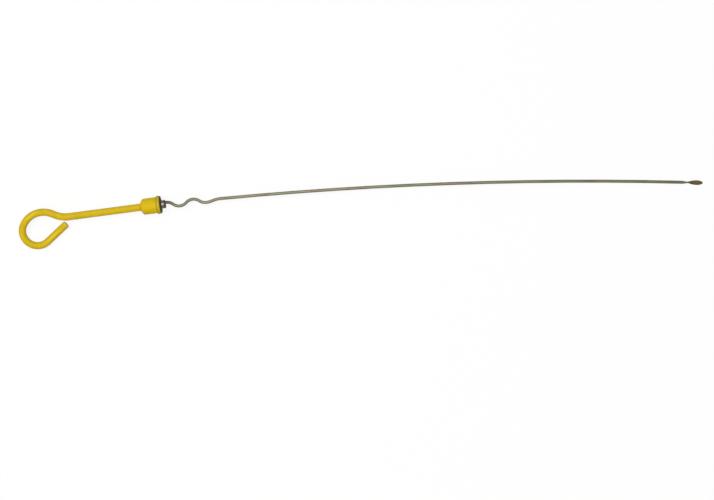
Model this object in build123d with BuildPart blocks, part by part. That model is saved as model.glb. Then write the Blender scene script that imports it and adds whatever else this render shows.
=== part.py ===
from build123d import *
import os
from math import asin, atan2, cos, degrees, radians, sin, sqrt, tan

# Engine oil dipstick, lying on its side as it comes to rest on a table.
# Origin where the ferrule leaves the seal, +X along the cap's axis towards the tip, +Z up. Millimetres.

# Handle rod: quarter-inch steel under a coat of yellow, bent to an open finger loop
rod_d = 6.4
handle_reach = 127.8        # seal to the far side of the loop
rise_angle = 29.6           # the rod climbs from the shank to the top of the loop
rise_bend_r = 24.0          # bend radii are to the middle of the rod
rise_run = 2.9
crown_r = 19.4              # wide arc over the top of the loop
crown_turn = 91.0
loop_r = 12.9               # round side of the loop
tail_angle = 35.6           # straight tail, back up towards the shank
tail_gap = 0.75             # cut end to the underside of the rod's first bend
cut_round = 0.8

# Spigot at the rod's lower end, with a shoulder that the cup stops against
spigot_d = 4.8
spigot_back = 2.0           # spigot's end behind the seal's nose
wire_seat = 12.0            # depth of the drilled hole that holds the wire

# Cup: drawn sheet steel, its rim folded back on itself
cup_d = 14.1
cup_wall = 1.0
cup_l = 16.95
neck_d = 8.4                # flat end of the tapered shoulder
shoulder_l = 2.1
hem_l = 2.75
neck_round = 0.5
shoulder_round = 1.4
hem_round = 0.4

# Seal: rubber bush with a flange outside the rim and a coned nose that wedges in the tube's mouth
flange_d = 15.1
flange_edge = 0.8
flange_round = 0.3
nose_h = 0.6
nose_d = 9.2
bush_l = 11.2

# Ferrule: headed steel sleeve pressed over the spigot
head_d = 7.2
head_l = 3.3
head_web = 0.6              # head's thickness behind its open mouth
mouth_d = 6.2
mouth_round = 0.25
stem_d = 6.0

# Indicator: spring steel wire with grip waves, a long bow, a pinched neck and a coined leaf
wire_d = 2.7
first_rise = 1.3            # first crest above the cap's axis
first_run = 6.0             # spigot's end to the first crest
first_drop = 4.7            # first crest to first trough, across
half_pitch = 11.6           # crest to trough, along
wave_h = 4.4                # later waves, across
lead_rise = 1.75            # last trough up to the bow
lead_r = 19.0
lead_angle = 2.1            # the bow sets off this far below the cap's axis
bow_r = 3385.0
bow_l = 405.9
pinch_l = 6.1
pinch_w = 1.15
leaf_l = 12.9
leaf_w = 4.1
leaf_t = 1.1
leaf_widest = 7.9           # neck to the widest place of the leaf
leaf_spread = 4.5           # neck to where the wire is fully flat
leaf_crown = 1.15           # pressed width before trimming, over the leaf's width

# Derived sizes
rod_r = rod_d / 2
wire_r = wire_d / 2
cup_r = cup_d / 2
cup_bore_r = cup_r - cup_wall
rim_r = cup_r + cup_wall
rim_x = -(nose_h + flange_edge)
floor_x = rim_x - cup_l
inner_floor_x = floor_x + cup_wall
spigot_end = -spigot_back
rise = radians(rise_angle)
tail = radians(tail_angle)

# Loop: middles of its two arcs, measured from where the rod bends away from the shank's line
crown_end = radians(180 - rise_angle + crown_turn)
crown_mid = Vector(
    -(rise_bend_r + crown_r) * sin(rise) - rise_run * cos(rise),
    rise_bend_r - (rise_bend_r + crown_r) * cos(rise) + rise_run * sin(rise),
)
loop_mid = crown_mid + Vector(sin(crown_end), -cos(crown_end)) * (crown_r - loop_r)
loop_low = loop_r - loop_mid.Y
bend_x = loop_r + rod_r - handle_reach - loop_mid.X

# Tail: its upper corner stops tail_gap short of the first bend's underside
tail_way = Vector(cos(tail), sin(tail))
tail_side = Vector(-sin(tail), cos(tail))
tail_corner = loop_mid - tail_side * (loop_r - rod_r) - Vector(0, rise_bend_r)
corner_ahead = tail_corner.dot(tail_way)
corner_aside = tail_corner.dot(tail_side)
tail_run = -corner_ahead - sqrt((rise_bend_r + rod_r + tail_gap) ** 2 - corner_aside**2)

# Waves of the wire as steps along and across, then the bow down to the neck
wave_steps = [
    (first_run, first_rise),
    (half_pitch, -first_drop),
    (half_pitch, wave_h),
    (half_pitch, -wave_h),
    (half_pitch, lead_rise),
]
bow_turn = degrees(bow_l / bow_r)
lead = radians(lead_angle)
bow_end = radians(lead_angle + bow_turn)
wire_fall = -sum(across for along, across in wave_steps)
wire_fall += lead_r * (1 - cos(lead)) + bow_r * (cos(lead) - cos(bow_end)) + pinch_l * sin(bow_end)

# At rest the rim, the loop's low side and the wire's neck touch one table, rim_r below the cap's axis
loop_roll = degrees(asin((rim_r - rod_r) / loop_low))
wire_roll = degrees(asin((rim_r - wire_r) / wire_fall))
loop_plane = Plane.XY.rotated((loop_roll, 0, 0))
wire_plane = Plane.XY.rotated((wire_roll, 0, 0))

os.makedirs("parts", exist_ok=True)


# Turn and radius of two equal, opposite bends that step across over a run along
def ogee(along, across):
    turn = 2 * degrees(atan2(across, along))
    return turn, along / 2 / sin(radians(abs(turn)))


# Finger loop, shank and drilled spigot in one rod
with BuildPart() as loop_handle:
    with BuildLine(loop_plane) as rod_path:
        shank = Line((floor_x, 0), (bend_x, 0))
        bend = JernArc(shank @ 1, shank % 1, rise_bend_r, -rise_angle)
        climb = Line(bend @ 1, bend @ 1 + (bend % 1) * rise_run)
        crown = JernArc(climb @ 1, climb % 1, crown_r, crown_turn)
        ring = JernArc(crown @ 1, crown % 1, loop_r, 180 + rise_angle + tail_angle - crown_turn)
        back = Line(ring @ 1, ring @ 1 + (ring % 1) * tail_run)
    with BuildSketch(Plane(origin=shank @ 0, z_dir=shank % 0)):
        Circle(rod_r)
    sweep(path=rod_path.wires()[0])
    fillet(loop_handle.faces().sort_by_distance(back @ 1)[0].edges(), cut_round)
    with BuildSketch(Plane.YZ.offset(floor_x)):
        Circle(spigot_d / 2)
    extrude(amount=spigot_end - floor_x)
    with Locations(Plane.YZ.offset(spigot_end)):
        Hole(wire_d / 2, depth=wire_seat)
loop_handle.part.label = "loop_handle"
export_step(loop_handle.part, "parts/loop_handle.step")

# Drawn cup: floor, tapered shoulder, straight wall and a full-round hem, in half section
taper = atan2(cup_r - neck_d / 2, shoulder_l)
inner_neck_r = neck_d / 2 + cup_wall * tan(taper) - cup_wall / cos(taper)
inner_shoulder_x = inner_floor_x + (cup_bore_r - inner_neck_r) / tan(taper)
hem_x = rim_x - hem_l
fold_x = rim_x - cup_wall

with BuildPart() as stopper_cup:
    with BuildSketch(Plane.XY):
        with BuildLine():
            outside = FilletPolyline(
                (floor_x, spigot_d / 2),
                (floor_x, neck_d / 2),
                (floor_x + shoulder_l, cup_r),
                (hem_x, cup_r),
                (hem_x, rim_r),
                (fold_x, rim_r),
                radius=[neck_round, shoulder_round, hem_round, hem_round],
            )
            fold = JernArc(outside @ 1, (1, 0), cup_wall, -180)
            inside = FilletPolyline(
                (fold_x, cup_bore_r),
                (inner_shoulder_x, cup_bore_r),
                (inner_floor_x, inner_neck_r),
                (inner_floor_x, spigot_d / 2),
                radius=[shoulder_round - cup_wall, neck_round],
            )
            Line(inside @ 1, outside @ 0)
        make_face()
    revolve(axis=Axis.X)
stopper_cup.part.label = "stopper_cup"
export_step(stopper_cup.part, "parts/stopper_cup.step")

# Rubber bush in half section: it fills the cup's bore round the ferrule, and its flange laps the rim
with BuildPart() as seal_bush:
    with BuildSketch(Plane.XY) as seal_section:
        with BuildLine():
            Polyline(
                (rim_x - bush_l, stem_d / 2),
                (rim_x - bush_l, cup_bore_r),
                (rim_x, cup_bore_r),
                (rim_x, flange_d / 2),
                (-nose_h, flange_d / 2),
                (0, nose_d / 2),
                (0, stem_d / 2),
                close=True,
            )
        make_face()
        fillet(seal_section.vertices().group_by(Axis.Y)[-1], flange_round)
    revolve(axis=Axis.X)
seal_bush.part.label = "seal_bush"
export_step(seal_bush.part, "parts/seal_bush.step")

# Sleeve that clamps the cup's floor against the rod's shoulder, its open head holding the seal in
with BuildPart() as ferrule:
    with BuildSketch(Plane.YZ):
        Circle(stem_d / 2)
    extrude(amount=inner_floor_x)
    with BuildSketch(Plane.YZ):
        Circle(head_d / 2)
    extrude(amount=head_l)
    with Locations(Plane.YZ.offset(head_l)):
        CounterBoreHole(spigot_d / 2, mouth_d / 2, head_l - head_web)
    fillet(ferrule.faces().sort_by(Axis.X)[-1].outer_wire().edges(), mouth_round)
ferrule.part.label = "ferrule"
export_step(ferrule.part, "parts/ferrule.step")

# Wire line: seated straight, waved by pairs of equal bends, then bowed
with BuildLine(wire_plane) as wire_path:
    run = Line((spigot_end - wire_seat, 0), (spigot_end, 0))
    for along, across in wave_steps:
        wave_angle, wave_r = ogee(along, across)
        turn = JernArc(run @ 1, run % 1, wave_r, wave_angle)
        run = JernArc(turn @ 1, turn % 1, wave_r, -wave_angle)
    run = JernArc(run @ 1, run % 1, lead_r, -lead_angle)
    bow = JernArc(run @ 1, run % 1, bow_r, -bow_turn)

# Tip: the round wire is pressed flat, then trimmed to a pinched neck and a leaf with a rounded end
tip_plane = Plane(origin=bow @ 1, x_dir=bow % 1, z_dir=wire_plane.z_dir)
press_plane = Plane(origin=bow @ 1, x_dir=tip_plane.y_dir, z_dir=bow % 1)
pinch_angle, pinch_r = ogee(pinch_l, pinch_w / 2 - wire_r)

with BuildPart() as leaf_tip:
    with BuildSketch(press_plane):
        Circle(wire_r)
    extrude(amount=pinch_l)
    with BuildSketch(press_plane.offset(pinch_l)):
        Circle(wire_r)
    with BuildSketch(press_plane.offset(pinch_l + leaf_spread)) as pressed:
        Ellipse(leaf_w / 2 * leaf_crown, leaf_t / 2)
    loft()
    extrude(pressed.sketch, amount=leaf_l - leaf_spread)
    with BuildSketch(tip_plane):
        with BuildLine():
            Line((0, 0), (0, wire_r))
            shoulder = JernArc((0, wire_r), (1, 0), pinch_r, pinch_angle)
            JernArc(shoulder @ 1, shoulder % 1, pinch_r, -pinch_angle)
            TangentArc((pinch_l + leaf_widest, leaf_w / 2), (pinch_l, pinch_w / 2), tangent=(-1, 0))
            EllipticalCenterArc((pinch_l + leaf_widest, 0), leaf_l - leaf_widest, leaf_w / 2, arc_size=90)
            Line((pinch_l + leaf_l, 0), (0, 0))
        make_face()
        mirror(about=Plane.XZ)
    extrude(amount=wire_d, both=True, mode=Mode.INTERSECT)

with BuildPart() as indicator_wire:
    with BuildSketch(Plane(origin=wire_path.line @ 0, z_dir=wire_path.line % 0)):
        Circle(wire_r)
    sweep(path=wire_path.wires()[0])
    add(leaf_tip.part)
indicator_wire.part.label = "indicator_wire"
export_step(indicator_wire.part, "parts/indicator_wire.step")
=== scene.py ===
import math

import bpy
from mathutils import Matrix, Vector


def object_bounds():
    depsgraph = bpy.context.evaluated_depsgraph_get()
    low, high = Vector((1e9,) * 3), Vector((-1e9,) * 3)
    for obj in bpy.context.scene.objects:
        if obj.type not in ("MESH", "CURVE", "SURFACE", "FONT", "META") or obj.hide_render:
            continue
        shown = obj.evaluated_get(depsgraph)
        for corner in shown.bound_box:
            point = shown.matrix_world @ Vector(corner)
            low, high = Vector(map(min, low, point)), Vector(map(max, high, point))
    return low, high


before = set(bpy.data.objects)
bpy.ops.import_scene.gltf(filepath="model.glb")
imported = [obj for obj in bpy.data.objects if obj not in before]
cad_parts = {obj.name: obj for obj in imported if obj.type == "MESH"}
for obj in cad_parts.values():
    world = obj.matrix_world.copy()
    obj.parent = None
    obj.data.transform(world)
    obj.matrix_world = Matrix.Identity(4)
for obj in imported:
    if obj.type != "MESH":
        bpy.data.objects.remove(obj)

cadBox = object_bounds()
print("frame loaded:", ", ".join(sorted(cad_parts)))


def linear(hexText):  # sRGB hex to the linear colour that a shader wants
    shares = [int(hexText[i:i + 2], 16) / 255 for i in (1, 3, 5)]
    return [s / 12.92 if s <= 0.04045 else ((s + 0.055) / 1.055) ** 2.4 for s in shares] + [1]


def cells(millimetres):  # texture scale whose lumps are this wide
    return 1000 / millimetres


def add(tree, kind, settings={}, values={}, links={}):  # one node, set and linked
    node = tree.nodes.new(kind)
    for name, value in settings.items():
        setattr(node, name, value)
    for socket, value in values.items():
        node.inputs[socket].default_value = value
    for socket, source in links.items():
        tree.links.new(source, node.inputs[socket])
    return node


def startMaterial(name):
    material = bpy.data.materials.new(name)
    material.use_nodes = True
    material.node_tree.nodes.clear()
    return material, material.node_tree


def dress(nodeName, material):  # the solid stays as it is, only its finish is new
    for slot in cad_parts[nodeName].material_slots:
        slot.material = material


# A zone is where a value starts to show, where it shows fully, and how strongly it then covers
def glaze(tree, under, tint, value, zone):  # a tint over a plain colour or over what lies below
    start, full, share = zone
    cover = add(tree, "ShaderNodeMapRange", {},
                {"From Min": start, "From Max": full, "To Max": share}, {"Value": value})
    colours, links = {7: linear(tint)}, {0: cover.outputs["Result"]}  # 0 is the share, 6 under, 7 over
    if isinstance(under, str):
        colours[6] = linear(under)
    else:
        links[6] = under
    return add(tree, "ShaderNodeMix", {"data_type": "RGBA"}, colours, links).outputs[2]


# Lumps are their width in mm, their fineness and their zone
def blotch(tree, under, tint, place, lumps, twist=0):  # lumps of another tint, and their noise
    width, fineness, *zone = lumps
    noise = add(tree, "ShaderNodeTexNoise", {},
                {"Scale": cells(width), "Detail": fineness, "Distortion": twist}, {"Vector": place})
    return glaze(tree, under, tint, noise.outputs["Fac"], zone), noise.outputs["Fac"]


# Yellow enamel on steel, dipped and baked: satin, a little uneven in thickness, with faint orange peel
rodCoat = {
    "thin": "#CBB412", "full": "#DBB512", "patches": (9.0, 3, 0.36, 0.60, 1.0),
    "bright": "#E6C21C", "runs": (5.0, 2, 0.52, 0.72, 0.80), "runTwist": 0.6,
    "grimeAndShade": "#7A6A1A", "specks": (1.3, 1, 0.70, 0.78, 0.45),
    "peelMm": 2.4, "peelDepthMm": 0.05,  # real peel is about 1 mm wide, drawn wider so that it shows
    "peelStrength": 0.6, "peelDetail": 1,
    "roughFrom": (0.3, 0.7), "rough": (0.36, 0.52), "specular": 0.10,
    "corner": (-0.0206, -0.0184, 0.25),  # darker where the rod meets the cup
    # painted highlights: a paler tint and a lower roughness where a lamp's highlight falls
    "highlightTint": "#EDD44A", "highlightEdge": 0.6, "highlightGloss": -0.15,
    "paintedHighlights": (  # middle, turn, half sizes in mm, share
        ((-0.1149, 0.0046, 0.0042), 28.5, (9.0, 1.2, 3.5), 0.50),  # painted highlight on the crown of the loop
        ((-0.0981, -0.0153, -0.0002), 35.0, (11.0, 1.2, 4.5), 0.60),  # and on the tail
        ((-0.0852, -0.0060, -0.0013), 35.0, (1.8, 8.0, 8.0), 0.90)),  # and painted light over its cut end, which lies in shade
    "spigot": "#3B352B", "bare": (-0.0183, -0.0181, 1.0),  # the spigot inside is bare and oily
}
cupCoat = {
    "thin": "#D2B812", "full": "#E1BC12", "patches": (6.0, 3, 0.36, 0.60, 1.0),
    "bright": "#EECB1C", "runs": (4.0, 2, 0.52, 0.72, 0.80), "runTwist": 0.6,
    "grimeAndShade": "#8A761A", "specks": (1.1, 1, 0.70, 0.78, 0.45),
    "peelMm": 2.0, "peelDepthMm": 0.04, "peelStrength": 0.6, "peelDetail": 1,
    "roughFrom": (0.3, 0.7), "rough": (0.34, 0.50), "specular": 0.06,
    "hemStep": -0.0039, "hemShadeAndGrime": (0.0011, 0.0004, 0.50),  # painted shade at the step of the hem, with grime caught there
    "foldSheenAndShade": "#C1AD4A", "rim": (-0.0034, -0.0028),  # painted sheen and painted shade on the fold of the rim
    "foldPatchFrom": (0.35, 0.65), "foldPatchLeast": 0.5,  # and unevenly
}


def coat(tree, place, s):
    colour, patches = blotch(tree, s["thin"], s["full"], place, s["patches"])
    colour, runs = blotch(tree, colour, s["bright"], place, s["runs"], s["runTwist"])
    colour = blotch(tree, colour, s["grimeAndShade"], place, s["specks"])[0]
    rough = add(tree, "ShaderNodeMapRange", {},
                {"From Min": s["roughFrom"][0], "From Max": s["roughFrom"][1],
                 "To Min": s["rough"][0], "To Max": s["rough"][1]}, {"Value": runs})
    peel = add(tree, "ShaderNodeTexNoise", {},
               {"Scale": cells(s["peelMm"]), "Detail": s["peelDetail"]}, {"Vector": place})
    bumps = add(tree, "ShaderNodeBump", {},
                {"Strength": s["peelStrength"], "Distance": s["peelDepthMm"] / 1000},
                {"Height": peel.outputs["Fac"]})
    return colour, rough.outputs["Result"], bumps.outputs["Normal"], patches


def makeRodCoat(s):
    material, tree = startMaterial("yellow enamel on the rod")
    place = add(tree, "ShaderNodeTexCoord").outputs["Object"]
    along = add(tree, "ShaderNodeSeparateXYZ", {}, {}, {0: place}).outputs["X"]
    colour, rough, normal = coat(tree, place, s)[:3]
    # darker where the rod meets the cup
    colour = glaze(tree, colour, s["grimeAndShade"], along, s["corner"])
    spots = []
    # each painted highlight fades out from its middle
    for spot, turn, halves, share in s["paintedHighlights"]:
        near = add(tree, "ShaderNodeMapping", {"vector_type": "TEXTURE"},
                   {"Location": spot, "Rotation": (0, 0, math.radians(turn)),
                    "Scale": [half / 1000 for half in halves]}, {"Vector": place})
        fade = add(tree, "ShaderNodeTexGradient", {"gradient_type": "SPHERICAL"}, {},
                   {"Vector": near.outputs[0]})
        highlightShare = add(tree, "ShaderNodeMapRange", {}, {"From Max": s["highlightEdge"], "To Max": share},
                   {"Value": fade.outputs["Fac"]})
        spots.append(highlightShare.outputs["Result"])
    paintedHighlights = spots[0]
    for highlightShare in spots[1:]:
        paintedHighlights = add(tree, "ShaderNodeMath", {"operation": "MAXIMUM"}, {},
                      {0: paintedHighlights, 1: highlightShare}).outputs[0]
    # paler and glossier on the painted highlights
    colour = add(tree, "ShaderNodeMix", {"data_type": "RGBA"}, {7: linear(s["highlightTint"])},
                 {0: paintedHighlights, 6: colour}).outputs[2]
    rough = add(tree, "ShaderNodeMath", {"operation": "MULTIPLY_ADD"}, {1: s["highlightGloss"]},
                {0: paintedHighlights, 2: rough})
    colour = glaze(tree, colour, s["spigot"], along, s["bare"])
    shader = add(tree, "ShaderNodeBsdfPrincipled", {}, {"Specular IOR Level": s["specular"]},
                 {"Base Color": colour, "Roughness": rough.outputs[0], "Normal": normal})
    add(tree, "ShaderNodeOutputMaterial", {}, {}, {"Surface": shader.outputs[0]})
    return material


def makeCupCoat(s):
    material, tree = startMaterial("yellow enamel on the cup")
    place = add(tree, "ShaderNodeTexCoord").outputs["Object"]
    along = add(tree, "ShaderNodeSeparateXYZ", {}, {}, {0: place}).outputs["X"]
    colour, rough, normal, patches = coat(tree, place, s)
    # painted shade, with grime, at the step of the hem
    pastStep = add(tree, "ShaderNodeMath", {"operation": "SUBTRACT"}, {1: s["hemStep"]}, {0: along})
    fromStep = add(tree, "ShaderNodeMath", {"operation": "ABSOLUTE"}, {}, {0: pastStep.outputs[0]})
    colour = glaze(tree, colour, s["grimeAndShade"], fromStep.outputs[0], s["hemShadeAndGrime"])
    # painted sheen and painted shade on the fold of the rim, in uneven patches
    onRim = add(tree, "ShaderNodeMapRange", {},
                {"From Min": s["rim"][0], "From Max": s["rim"][1]}, {"Value": along})
    uneven = add(tree, "ShaderNodeMapRange", {},
                 {"From Min": s["foldPatchFrom"][0], "From Max": s["foldPatchFrom"][1], "To Min": s["foldPatchLeast"]},
                 {"Value": patches})
    foldSheenAndShade = add(tree, "ShaderNodeMath", {"operation": "MULTIPLY"}, {},
                 {0: onRim.outputs["Result"], 1: uneven.outputs["Result"]})
    colour = add(tree, "ShaderNodeMix", {"data_type": "RGBA"}, {7: linear(s["foldSheenAndShade"])},
                 {0: foldSheenAndShade.outputs[0], 6: colour})
    shader = add(tree, "ShaderNodeBsdfPrincipled", {}, {"Specular IOR Level": s["specular"]},
                 {"Base Color": colour.outputs[2], "Roughness": rough, "Normal": normal})
    add(tree, "ShaderNodeOutputMaterial", {}, {}, {"Surface": shader.outputs[0]})
    return material


dress("loop_handle", makeRodCoat(rodCoat))
dress("stopper_cup", makeCupCoat(cupCoat))
print("yellow enamel on the handle and the cup")

# Nitrile rubber, moulded: near black and matt, with a brown bloom where it has been handled
sealRubber = {
    "body": "#382E1B", "bloom": "#57492F", "blooms": (2.5, 4, 0.42, 0.68, 0.7),
    "grainMm": 0.5, "grainDepthMm": 0.03,  # moulded grain is nearer 0.1 mm, drawn wider
    "grainStrength": 0.5, "grainDetail": 2,
    "rough": (0.50, 0.72), "specular": 0.2,
}


def makeSealRubber(s):
    material, tree = startMaterial("moulded nitrile rubber")
    place = add(tree, "ShaderNodeTexCoord").outputs["Object"]
    colour, bloom = blotch(tree, s["body"], s["bloom"], place, s["blooms"])
    rough = add(tree, "ShaderNodeMapRange", {}, {"To Min": s["rough"][0], "To Max": s["rough"][1]},
                {"Value": bloom})
    grain = add(tree, "ShaderNodeTexNoise", {},
                {"Scale": cells(s["grainMm"]), "Detail": s["grainDetail"]}, {"Vector": place})
    pits = add(tree, "ShaderNodeBump", {},
               {"Strength": s["grainStrength"], "Distance": s["grainDepthMm"] / 1000},
               {"Height": grain.outputs["Fac"]})
    shader = add(tree, "ShaderNodeBsdfPrincipled", {}, {"Specular IOR Level": s["specular"]},
                 {"Base Color": colour, "Roughness": rough.outputs["Result"],
                  "Normal": pits.outputs[0]})
    add(tree, "ShaderNodeOutputMaterial", {}, {}, {"Surface": shader.outputs[0]})
    return material


dress("seal_bush", makeSealRubber(sealRubber))
print("rubber on the seal")

# Mild steel, turned and left bare: rings round the head, a skin that dulls, darker towards the mouth,
# and painted shade with old oil inside it
ferruleSteel = {
    "bright": "#7B7468", "dull": "#534E44", "dulled": (2.2, 3, 0.40, 0.66, 1.0),
    "ringMm": 0.4, "ringDepthMm": 0.02,  # a fine cut is 0.1 mm a turn, drawn wider
    "ringStretch": 0.04, "ringStrength": 0.5, "ringDetail": 2,
    "rough": (0.28, 0.48), "oilSpecular": 0.3,
    "oil": "#2C261D", "lip": (0.0017, 0.0024),  # darker towards the mouth
    "mouth": (0.00330, 0.00305),  # and painted shade with old oil all the way inside the bore
}


def makeFerruleSteel(s):
    material, tree = startMaterial("turned mild steel")
    place = add(tree, "ShaderNodeTexCoord").outputs["Object"]
    along = add(tree, "ShaderNodeSeparateXYZ", {}, {}, {0: place}).outputs["X"]
    colour, dulling = blotch(tree, s["bright"], s["dull"], place, s["dulled"])
    acrossAxis = add(tree, "ShaderNodeVectorMath", {"operation": "MULTIPLY"}, {1: (0, 1, 1)},
                     {0: place})
    radius = add(tree, "ShaderNodeVectorMath", {"operation": "LENGTH"}, {}, {0: acrossAxis.outputs[0]})
    # painted shade inside the bore, with old oil
    inMouth = add(tree, "ShaderNodeMapRange", {},
                  {"From Min": s["mouth"][0], "From Max": s["mouth"][1]},
                  {"Value": radius.outputs["Value"]})
    # darker towards the mouth
    onLip = add(tree, "ShaderNodeMapRange", {},
                {"From Min": s["lip"][0], "From Max": s["lip"][1]}, {"Value": along})
    darkAtMouth = add(tree, "ShaderNodeMath", {"operation": "MAXIMUM"}, {},
               {0: inMouth.outputs["Result"], 1: onLip.outputs["Result"]})
    bare = add(tree, "ShaderNodeMath", {"operation": "SUBTRACT"}, {0: 1}, {1: darkAtMouth.outputs[0]})
    colour = add(tree, "ShaderNodeMix", {"data_type": "RGBA"}, {7: linear(s["oil"])},
                 {0: darkAtMouth.outputs[0], 6: colour})
    rough = add(tree, "ShaderNodeMapRange", {}, {"To Min": s["rough"][0], "To Max": s["rough"][1]},
                {"Value": dulling})
    roundAxis = add(tree, "ShaderNodeMapping", {},
                    {"Scale": (1, s["ringStretch"], s["ringStretch"])}, {"Vector": place})
    rings = add(tree, "ShaderNodeTexNoise", {},
                {"Scale": cells(s["ringMm"]), "Detail": s["ringDetail"]},
                {"Vector": roundAxis.outputs[0]})
    cuts = add(tree, "ShaderNodeBump", {},
               {"Strength": s["ringStrength"], "Distance": s["ringDepthMm"] / 1000},
               {"Height": rings.outputs["Fac"]})
    shader = add(tree, "ShaderNodeBsdfPrincipled", {}, {"Specular IOR Level": s["oilSpecular"]},
                 {"Base Color": colour.outputs[2], "Metallic": bare.outputs[0],
                  "Roughness": rough.outputs["Result"], "Normal": cuts.outputs[0]})
    add(tree, "ShaderNodeOutputMaterial", {}, {}, {"Surface": shader.outputs[0]})
    return material


dress("ferrule", makeFerruleSteel(ferruleSteel))
print("turned steel on the ferrule")

# Hard-drawn spring steel: dull, with lines from the die along it, and browned by hot oil at the tip
wireSteel = {
    "olive": "#757660", "warm": "#7C7464",
    "tints": (45.0, 1, 0.40, 0.60, 1.0),  # the dulled skin changes slowly along it
    "pale": "#86826B", "drawn": (0.5, 2, 0.35, 0.65, 0.5),  # die lines are nearer 0.1 mm, drawn wider
    "drawnStretch": 0.02, "drawnDepthMm": 0.02, "drawnStrength": 0.4,
    "waveFromMm": 4.0, "wavePitchMm": 23.2, "waveHalfMm": 2.2,  # they follow the waves
    "waveEnd": (0.046, 0.038),
    "bowMid": (-0.0729, -3.3403, -0.5446), "bowRoll": 9.26,  # and then the bow
    "dark": "#5A5647", "patches": (16.0, 3, 0.42, 0.70, 0.4), "rough": (0.46, 0.62),
    "freckle": "#463A28", "freckles": (0.9, 2, 0.60, 0.70, 0.4),  # specks of dried oil and first rust
    # darker near the mouth of the ferrule
    "mouthDark": "#3E3A33", "nearMouth": (0.012, 0.005, 0.75),
    "oil": "#3A3119", "stain": (0.15, 0.454, 0.34), "tipOil": (0.457, 0.466, 0.80),
    "leafAt": (0.4682, -0.0422, -0.0069), "leafTurn": (9.22, 0.0, -8.98),
    "leafHalf": (0.0064, 0.0022, 0.0040), "leafFace": (0.12, 0.45, 0.85),
    "leafMid": "#67542F", "filmMm": 2.2, "filmDetail": 2,  # uneven film of old oil on the leaf
    "filmFrom": (0.35, 0.60), "filmLeast": 0.5,
}


def alongWire(tree, place, along, s):  # place on the wire as if its waves and bow were straight
    inBow = add(tree, "ShaderNodeMapping", {"vector_type": "TEXTURE"},
                {"Location": s["bowMid"], "Rotation": (math.radians(s["bowRoll"]), 0, 0)},
                {"Vector": place})
    inPlane = add(tree, "ShaderNodeVectorMath", {"operation": "MULTIPLY"}, {1: (1, 1, 0)},
                  {0: inBow.outputs[0]})
    fromMid = add(tree, "ShaderNodeVectorMath", {"operation": "LENGTH"}, {}, {0: inPlane.outputs[0]})
    swing = add(tree, "ShaderNodeMath", {"operation": "MULTIPLY_ADD"},
                {1: math.tau * cells(s["wavePitchMm"]),
                 2: -math.tau * s["waveFromMm"] / s["wavePitchMm"]}, {0: along})
    wave = add(tree, "ShaderNodeMath", {"operation": "COSINE"}, {}, {0: swing.outputs[0]})
    waveSize = add(tree, "ShaderNodeMapRange", {},
                   {"From Min": s["waveEnd"][0], "From Max": s["waveEnd"][1],
                    "To Max": s["waveHalfMm"] / 1000}, {"Value": along})
    bend = add(tree, "ShaderNodeMath", {"operation": "MULTIPLY"}, {},
               {0: wave.outputs[0], 1: waveSize.outputs["Result"]})
    aside = add(tree, "ShaderNodeMath", {"operation": "SUBTRACT"}, {},
                {0: fromMid.outputs["Value"], 1: bend.outputs[0]})
    depth = add(tree, "ShaderNodeSeparateXYZ", {}, {}, {0: inBow.outputs[0]})
    onWire = add(tree, "ShaderNodeCombineXYZ", {}, {},
                 {"X": along, "Y": aside.outputs[0], "Z": depth.outputs["Z"]})
    return add(tree, "ShaderNodeMapping", {}, {"Scale": (s["drawnStretch"], 1, 1)},
               {"Vector": onWire.outputs[0]}).outputs[0]


def makeWireSteel(s):
    material, tree = startMaterial("hard-drawn spring steel")
    place = add(tree, "ShaderNodeTexCoord").outputs["Object"]
    along = add(tree, "ShaderNodeSeparateXYZ", {}, {}, {0: place}).outputs["X"]
    colour = blotch(tree, s["olive"], s["warm"], place, s["tints"])[0]
    colour, drawn = blotch(tree, colour, s["pale"], alongWire(tree, place, along, s), s["drawn"])
    colour, patches = blotch(tree, colour, s["dark"], place, s["patches"])
    colour = blotch(tree, colour, s["freckle"], place, s["freckles"])[0]
    # darker near the mouth, and oil-stained towards the tip
    for tint, where in (("mouthDark", "nearMouth"), ("oil", "stain"), ("oil", "tipOil")):
        colour = glaze(tree, colour, s[tint], along, s[where])
    onLeaf = add(tree, "ShaderNodeMapping", {"vector_type": "TEXTURE"},
                 {"Location": s["leafAt"], "Rotation": [math.radians(a) for a in s["leafTurn"]],
                  "Scale": s["leafHalf"]}, {"Vector": place})
    leaf = add(tree, "ShaderNodeTexGradient", {"gradient_type": "SPHERICAL"}, {},
               {"Vector": onLeaf.outputs[0]})
    face = add(tree, "ShaderNodeMapRange", {},
               {"From Min": s["leafFace"][0], "From Max": s["leafFace"][1], "To Max": s["leafFace"][2]},
               {"Value": leaf.outputs["Fac"]})
    film = add(tree, "ShaderNodeTexNoise", {},
               {"Scale": cells(s["filmMm"]), "Detail": s["filmDetail"]}, {"Vector": place})
    uneven = add(tree, "ShaderNodeMapRange", {},
                 {"From Min": s["filmFrom"][0], "From Max": s["filmFrom"][1], "To Min": s["filmLeast"]},
                 {"Value": film.outputs["Fac"]})
    filmed = add(tree, "ShaderNodeMath", {"operation": "MULTIPLY"}, {},
                 {0: face.outputs["Result"], 1: uneven.outputs["Result"]})
    colour = add(tree, "ShaderNodeMix", {"data_type": "RGBA"}, {7: linear(s["leafMid"])},
                 {0: filmed.outputs[0], 6: colour})
    rough = add(tree, "ShaderNodeMapRange", {}, {"To Min": s["rough"][0], "To Max": s["rough"][1]},
                {"Value": patches})
    lines = add(tree, "ShaderNodeBump", {},
                {"Strength": s["drawnStrength"], "Distance": s["drawnDepthMm"] / 1000},
                {"Height": drawn})
    shader = add(tree, "ShaderNodeBsdfPrincipled", {}, {"Metallic": 1},
                 {"Base Color": colour.outputs[2], "Roughness": rough.outputs["Result"],
                  "Normal": lines.outputs[0]})
    add(tree, "ShaderNodeOutputMaterial", {}, {}, {"Surface": shader.outputs[0]})
    return material


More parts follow.
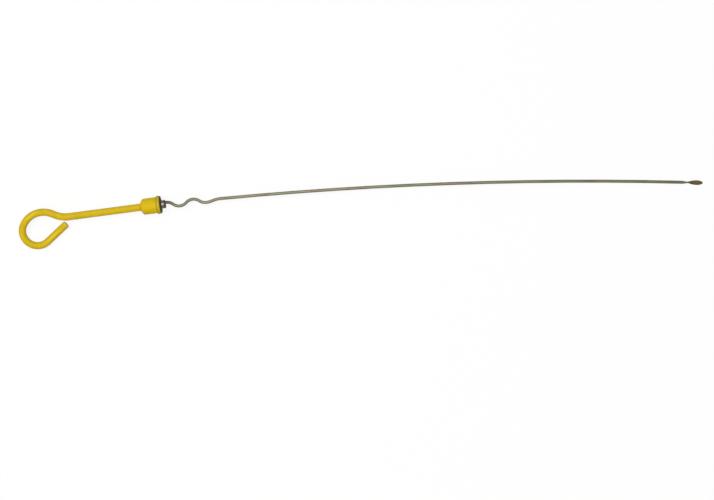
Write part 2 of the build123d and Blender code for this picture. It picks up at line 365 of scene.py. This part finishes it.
dress("indicator_wire", makeWireSteel(wireSteel))
print("drawn steel on the wire")

# White table and studio: white to the eye and in reflections, a plain grey to the light that bounces
studio = {
    "white": "#FFFFFF", "floorSize": 12.0, "floorBounce": "#A8A8A8", "floorGlow": 0.86,
    "skyStrength": 0.38,
    "boxSize": 2.4, "boxHeight": 3.5, "boxWatts": 93.0, "boxShift": (-0.85, 0.3),
}
white = linear(studio["white"])


def seenShare(tree):  # 1 for rays from the eye, a reflection or through glass
    path = add(tree, "ShaderNodeLightPath")
    direct = add(tree, "ShaderNodeMath", {"operation": "MAXIMUM"}, {},
                 {0: path.outputs["Is Camera Ray"], 1: path.outputs["Is Glossy Ray"]})
    return add(tree, "ShaderNodeMath", {"operation": "MAXIMUM"}, {},
               {0: direct.outputs[0], 1: path.outputs["Is Transmission Ray"]}).outputs[0]


middle = (cadBox[0] + cadBox[1]) / 2
bpy.ops.object.select_all(action="DESELECT")
bpy.ops.mesh.primitive_plane_add(size=studio["floorSize"], location=(middle.x, middle.y, cadBox[0].z))
floor = bpy.context.object
floor.name = "white_table"
bpy.ops.object.transform_apply(location=True)
floorPaint, tree = startMaterial("white laminate table")
bounce = add(tree, "ShaderNodeBsdfDiffuse", {}, {"Color": linear(studio["floorBounce"])})
whiteTop = add(tree, "ShaderNodeBsdfDiffuse", {}, {"Color": white})
glow = add(tree, "ShaderNodeEmission", {}, {"Color": white, "Strength": 1})
seenTop = add(tree, "ShaderNodeMixShader", {}, {0: studio["floorGlow"]},
              {1: whiteTop.outputs[0], 2: glow.outputs[0]})  # what is not glow keeps the shadow
top = add(tree, "ShaderNodeMixShader", {}, {},
          {0: seenShare(tree), 1: bounce.outputs[0], 2: seenTop.outputs[0]})
add(tree, "ShaderNodeOutputMaterial", {}, {}, {"Surface": top.outputs[0]})
floor.data.materials.append(floorPaint)

sky = bpy.data.worlds.new("white studio")
sky.use_nodes = True
sky.node_tree.nodes.clear()
tree = sky.node_tree
ambient = add(tree, "ShaderNodeBackground", {}, {"Color": white, "Strength": studio["skyStrength"]})
seenSky = add(tree, "ShaderNodeBackground", {}, {"Color": white, "Strength": 1})
allRound = add(tree, "ShaderNodeMixShader", {}, {},
               {0: seenShare(tree), 1: ambient.outputs[0], 2: seenSky.outputs[0]})
add(tree, "ShaderNodeOutputWorld", {}, {}, {"Surface": allRound.outputs[0]})
bpy.context.scene.world = sky

aside, back = studio["boxShift"]
bpy.ops.object.light_add(type="AREA", location=(middle.x + aside, middle.y + back, studio["boxHeight"]))
softbox = bpy.context.object
softbox.name = "overhead_softbox"
softbox.data.size = studio["boxSize"]
softbox.data.energy = studio["boxWatts"]
print("white table and soft overhead light")

# Camera straight above, turned so that the cap's axis climbs to the right
view = {"over": (0.1643, -0.0620), "turn": -7.53, "lens": 85.0, "sensor": 36.0, "frameWidth": 0.6255}
bpy.ops.object.camera_add()
camera = bpy.context.object
camera.data.lens = view["lens"]
camera.data.sensor_width = view["sensor"]
camera.location = (*view["over"], view["frameWidth"] * view["lens"] / view["sensor"])
camera.rotation_euler = (0, 0, math.radians(view["turn"]))
bpy.context.scene.camera = camera
bpy.context.scene.view_settings.view_transform = "Standard"
print("camera set")
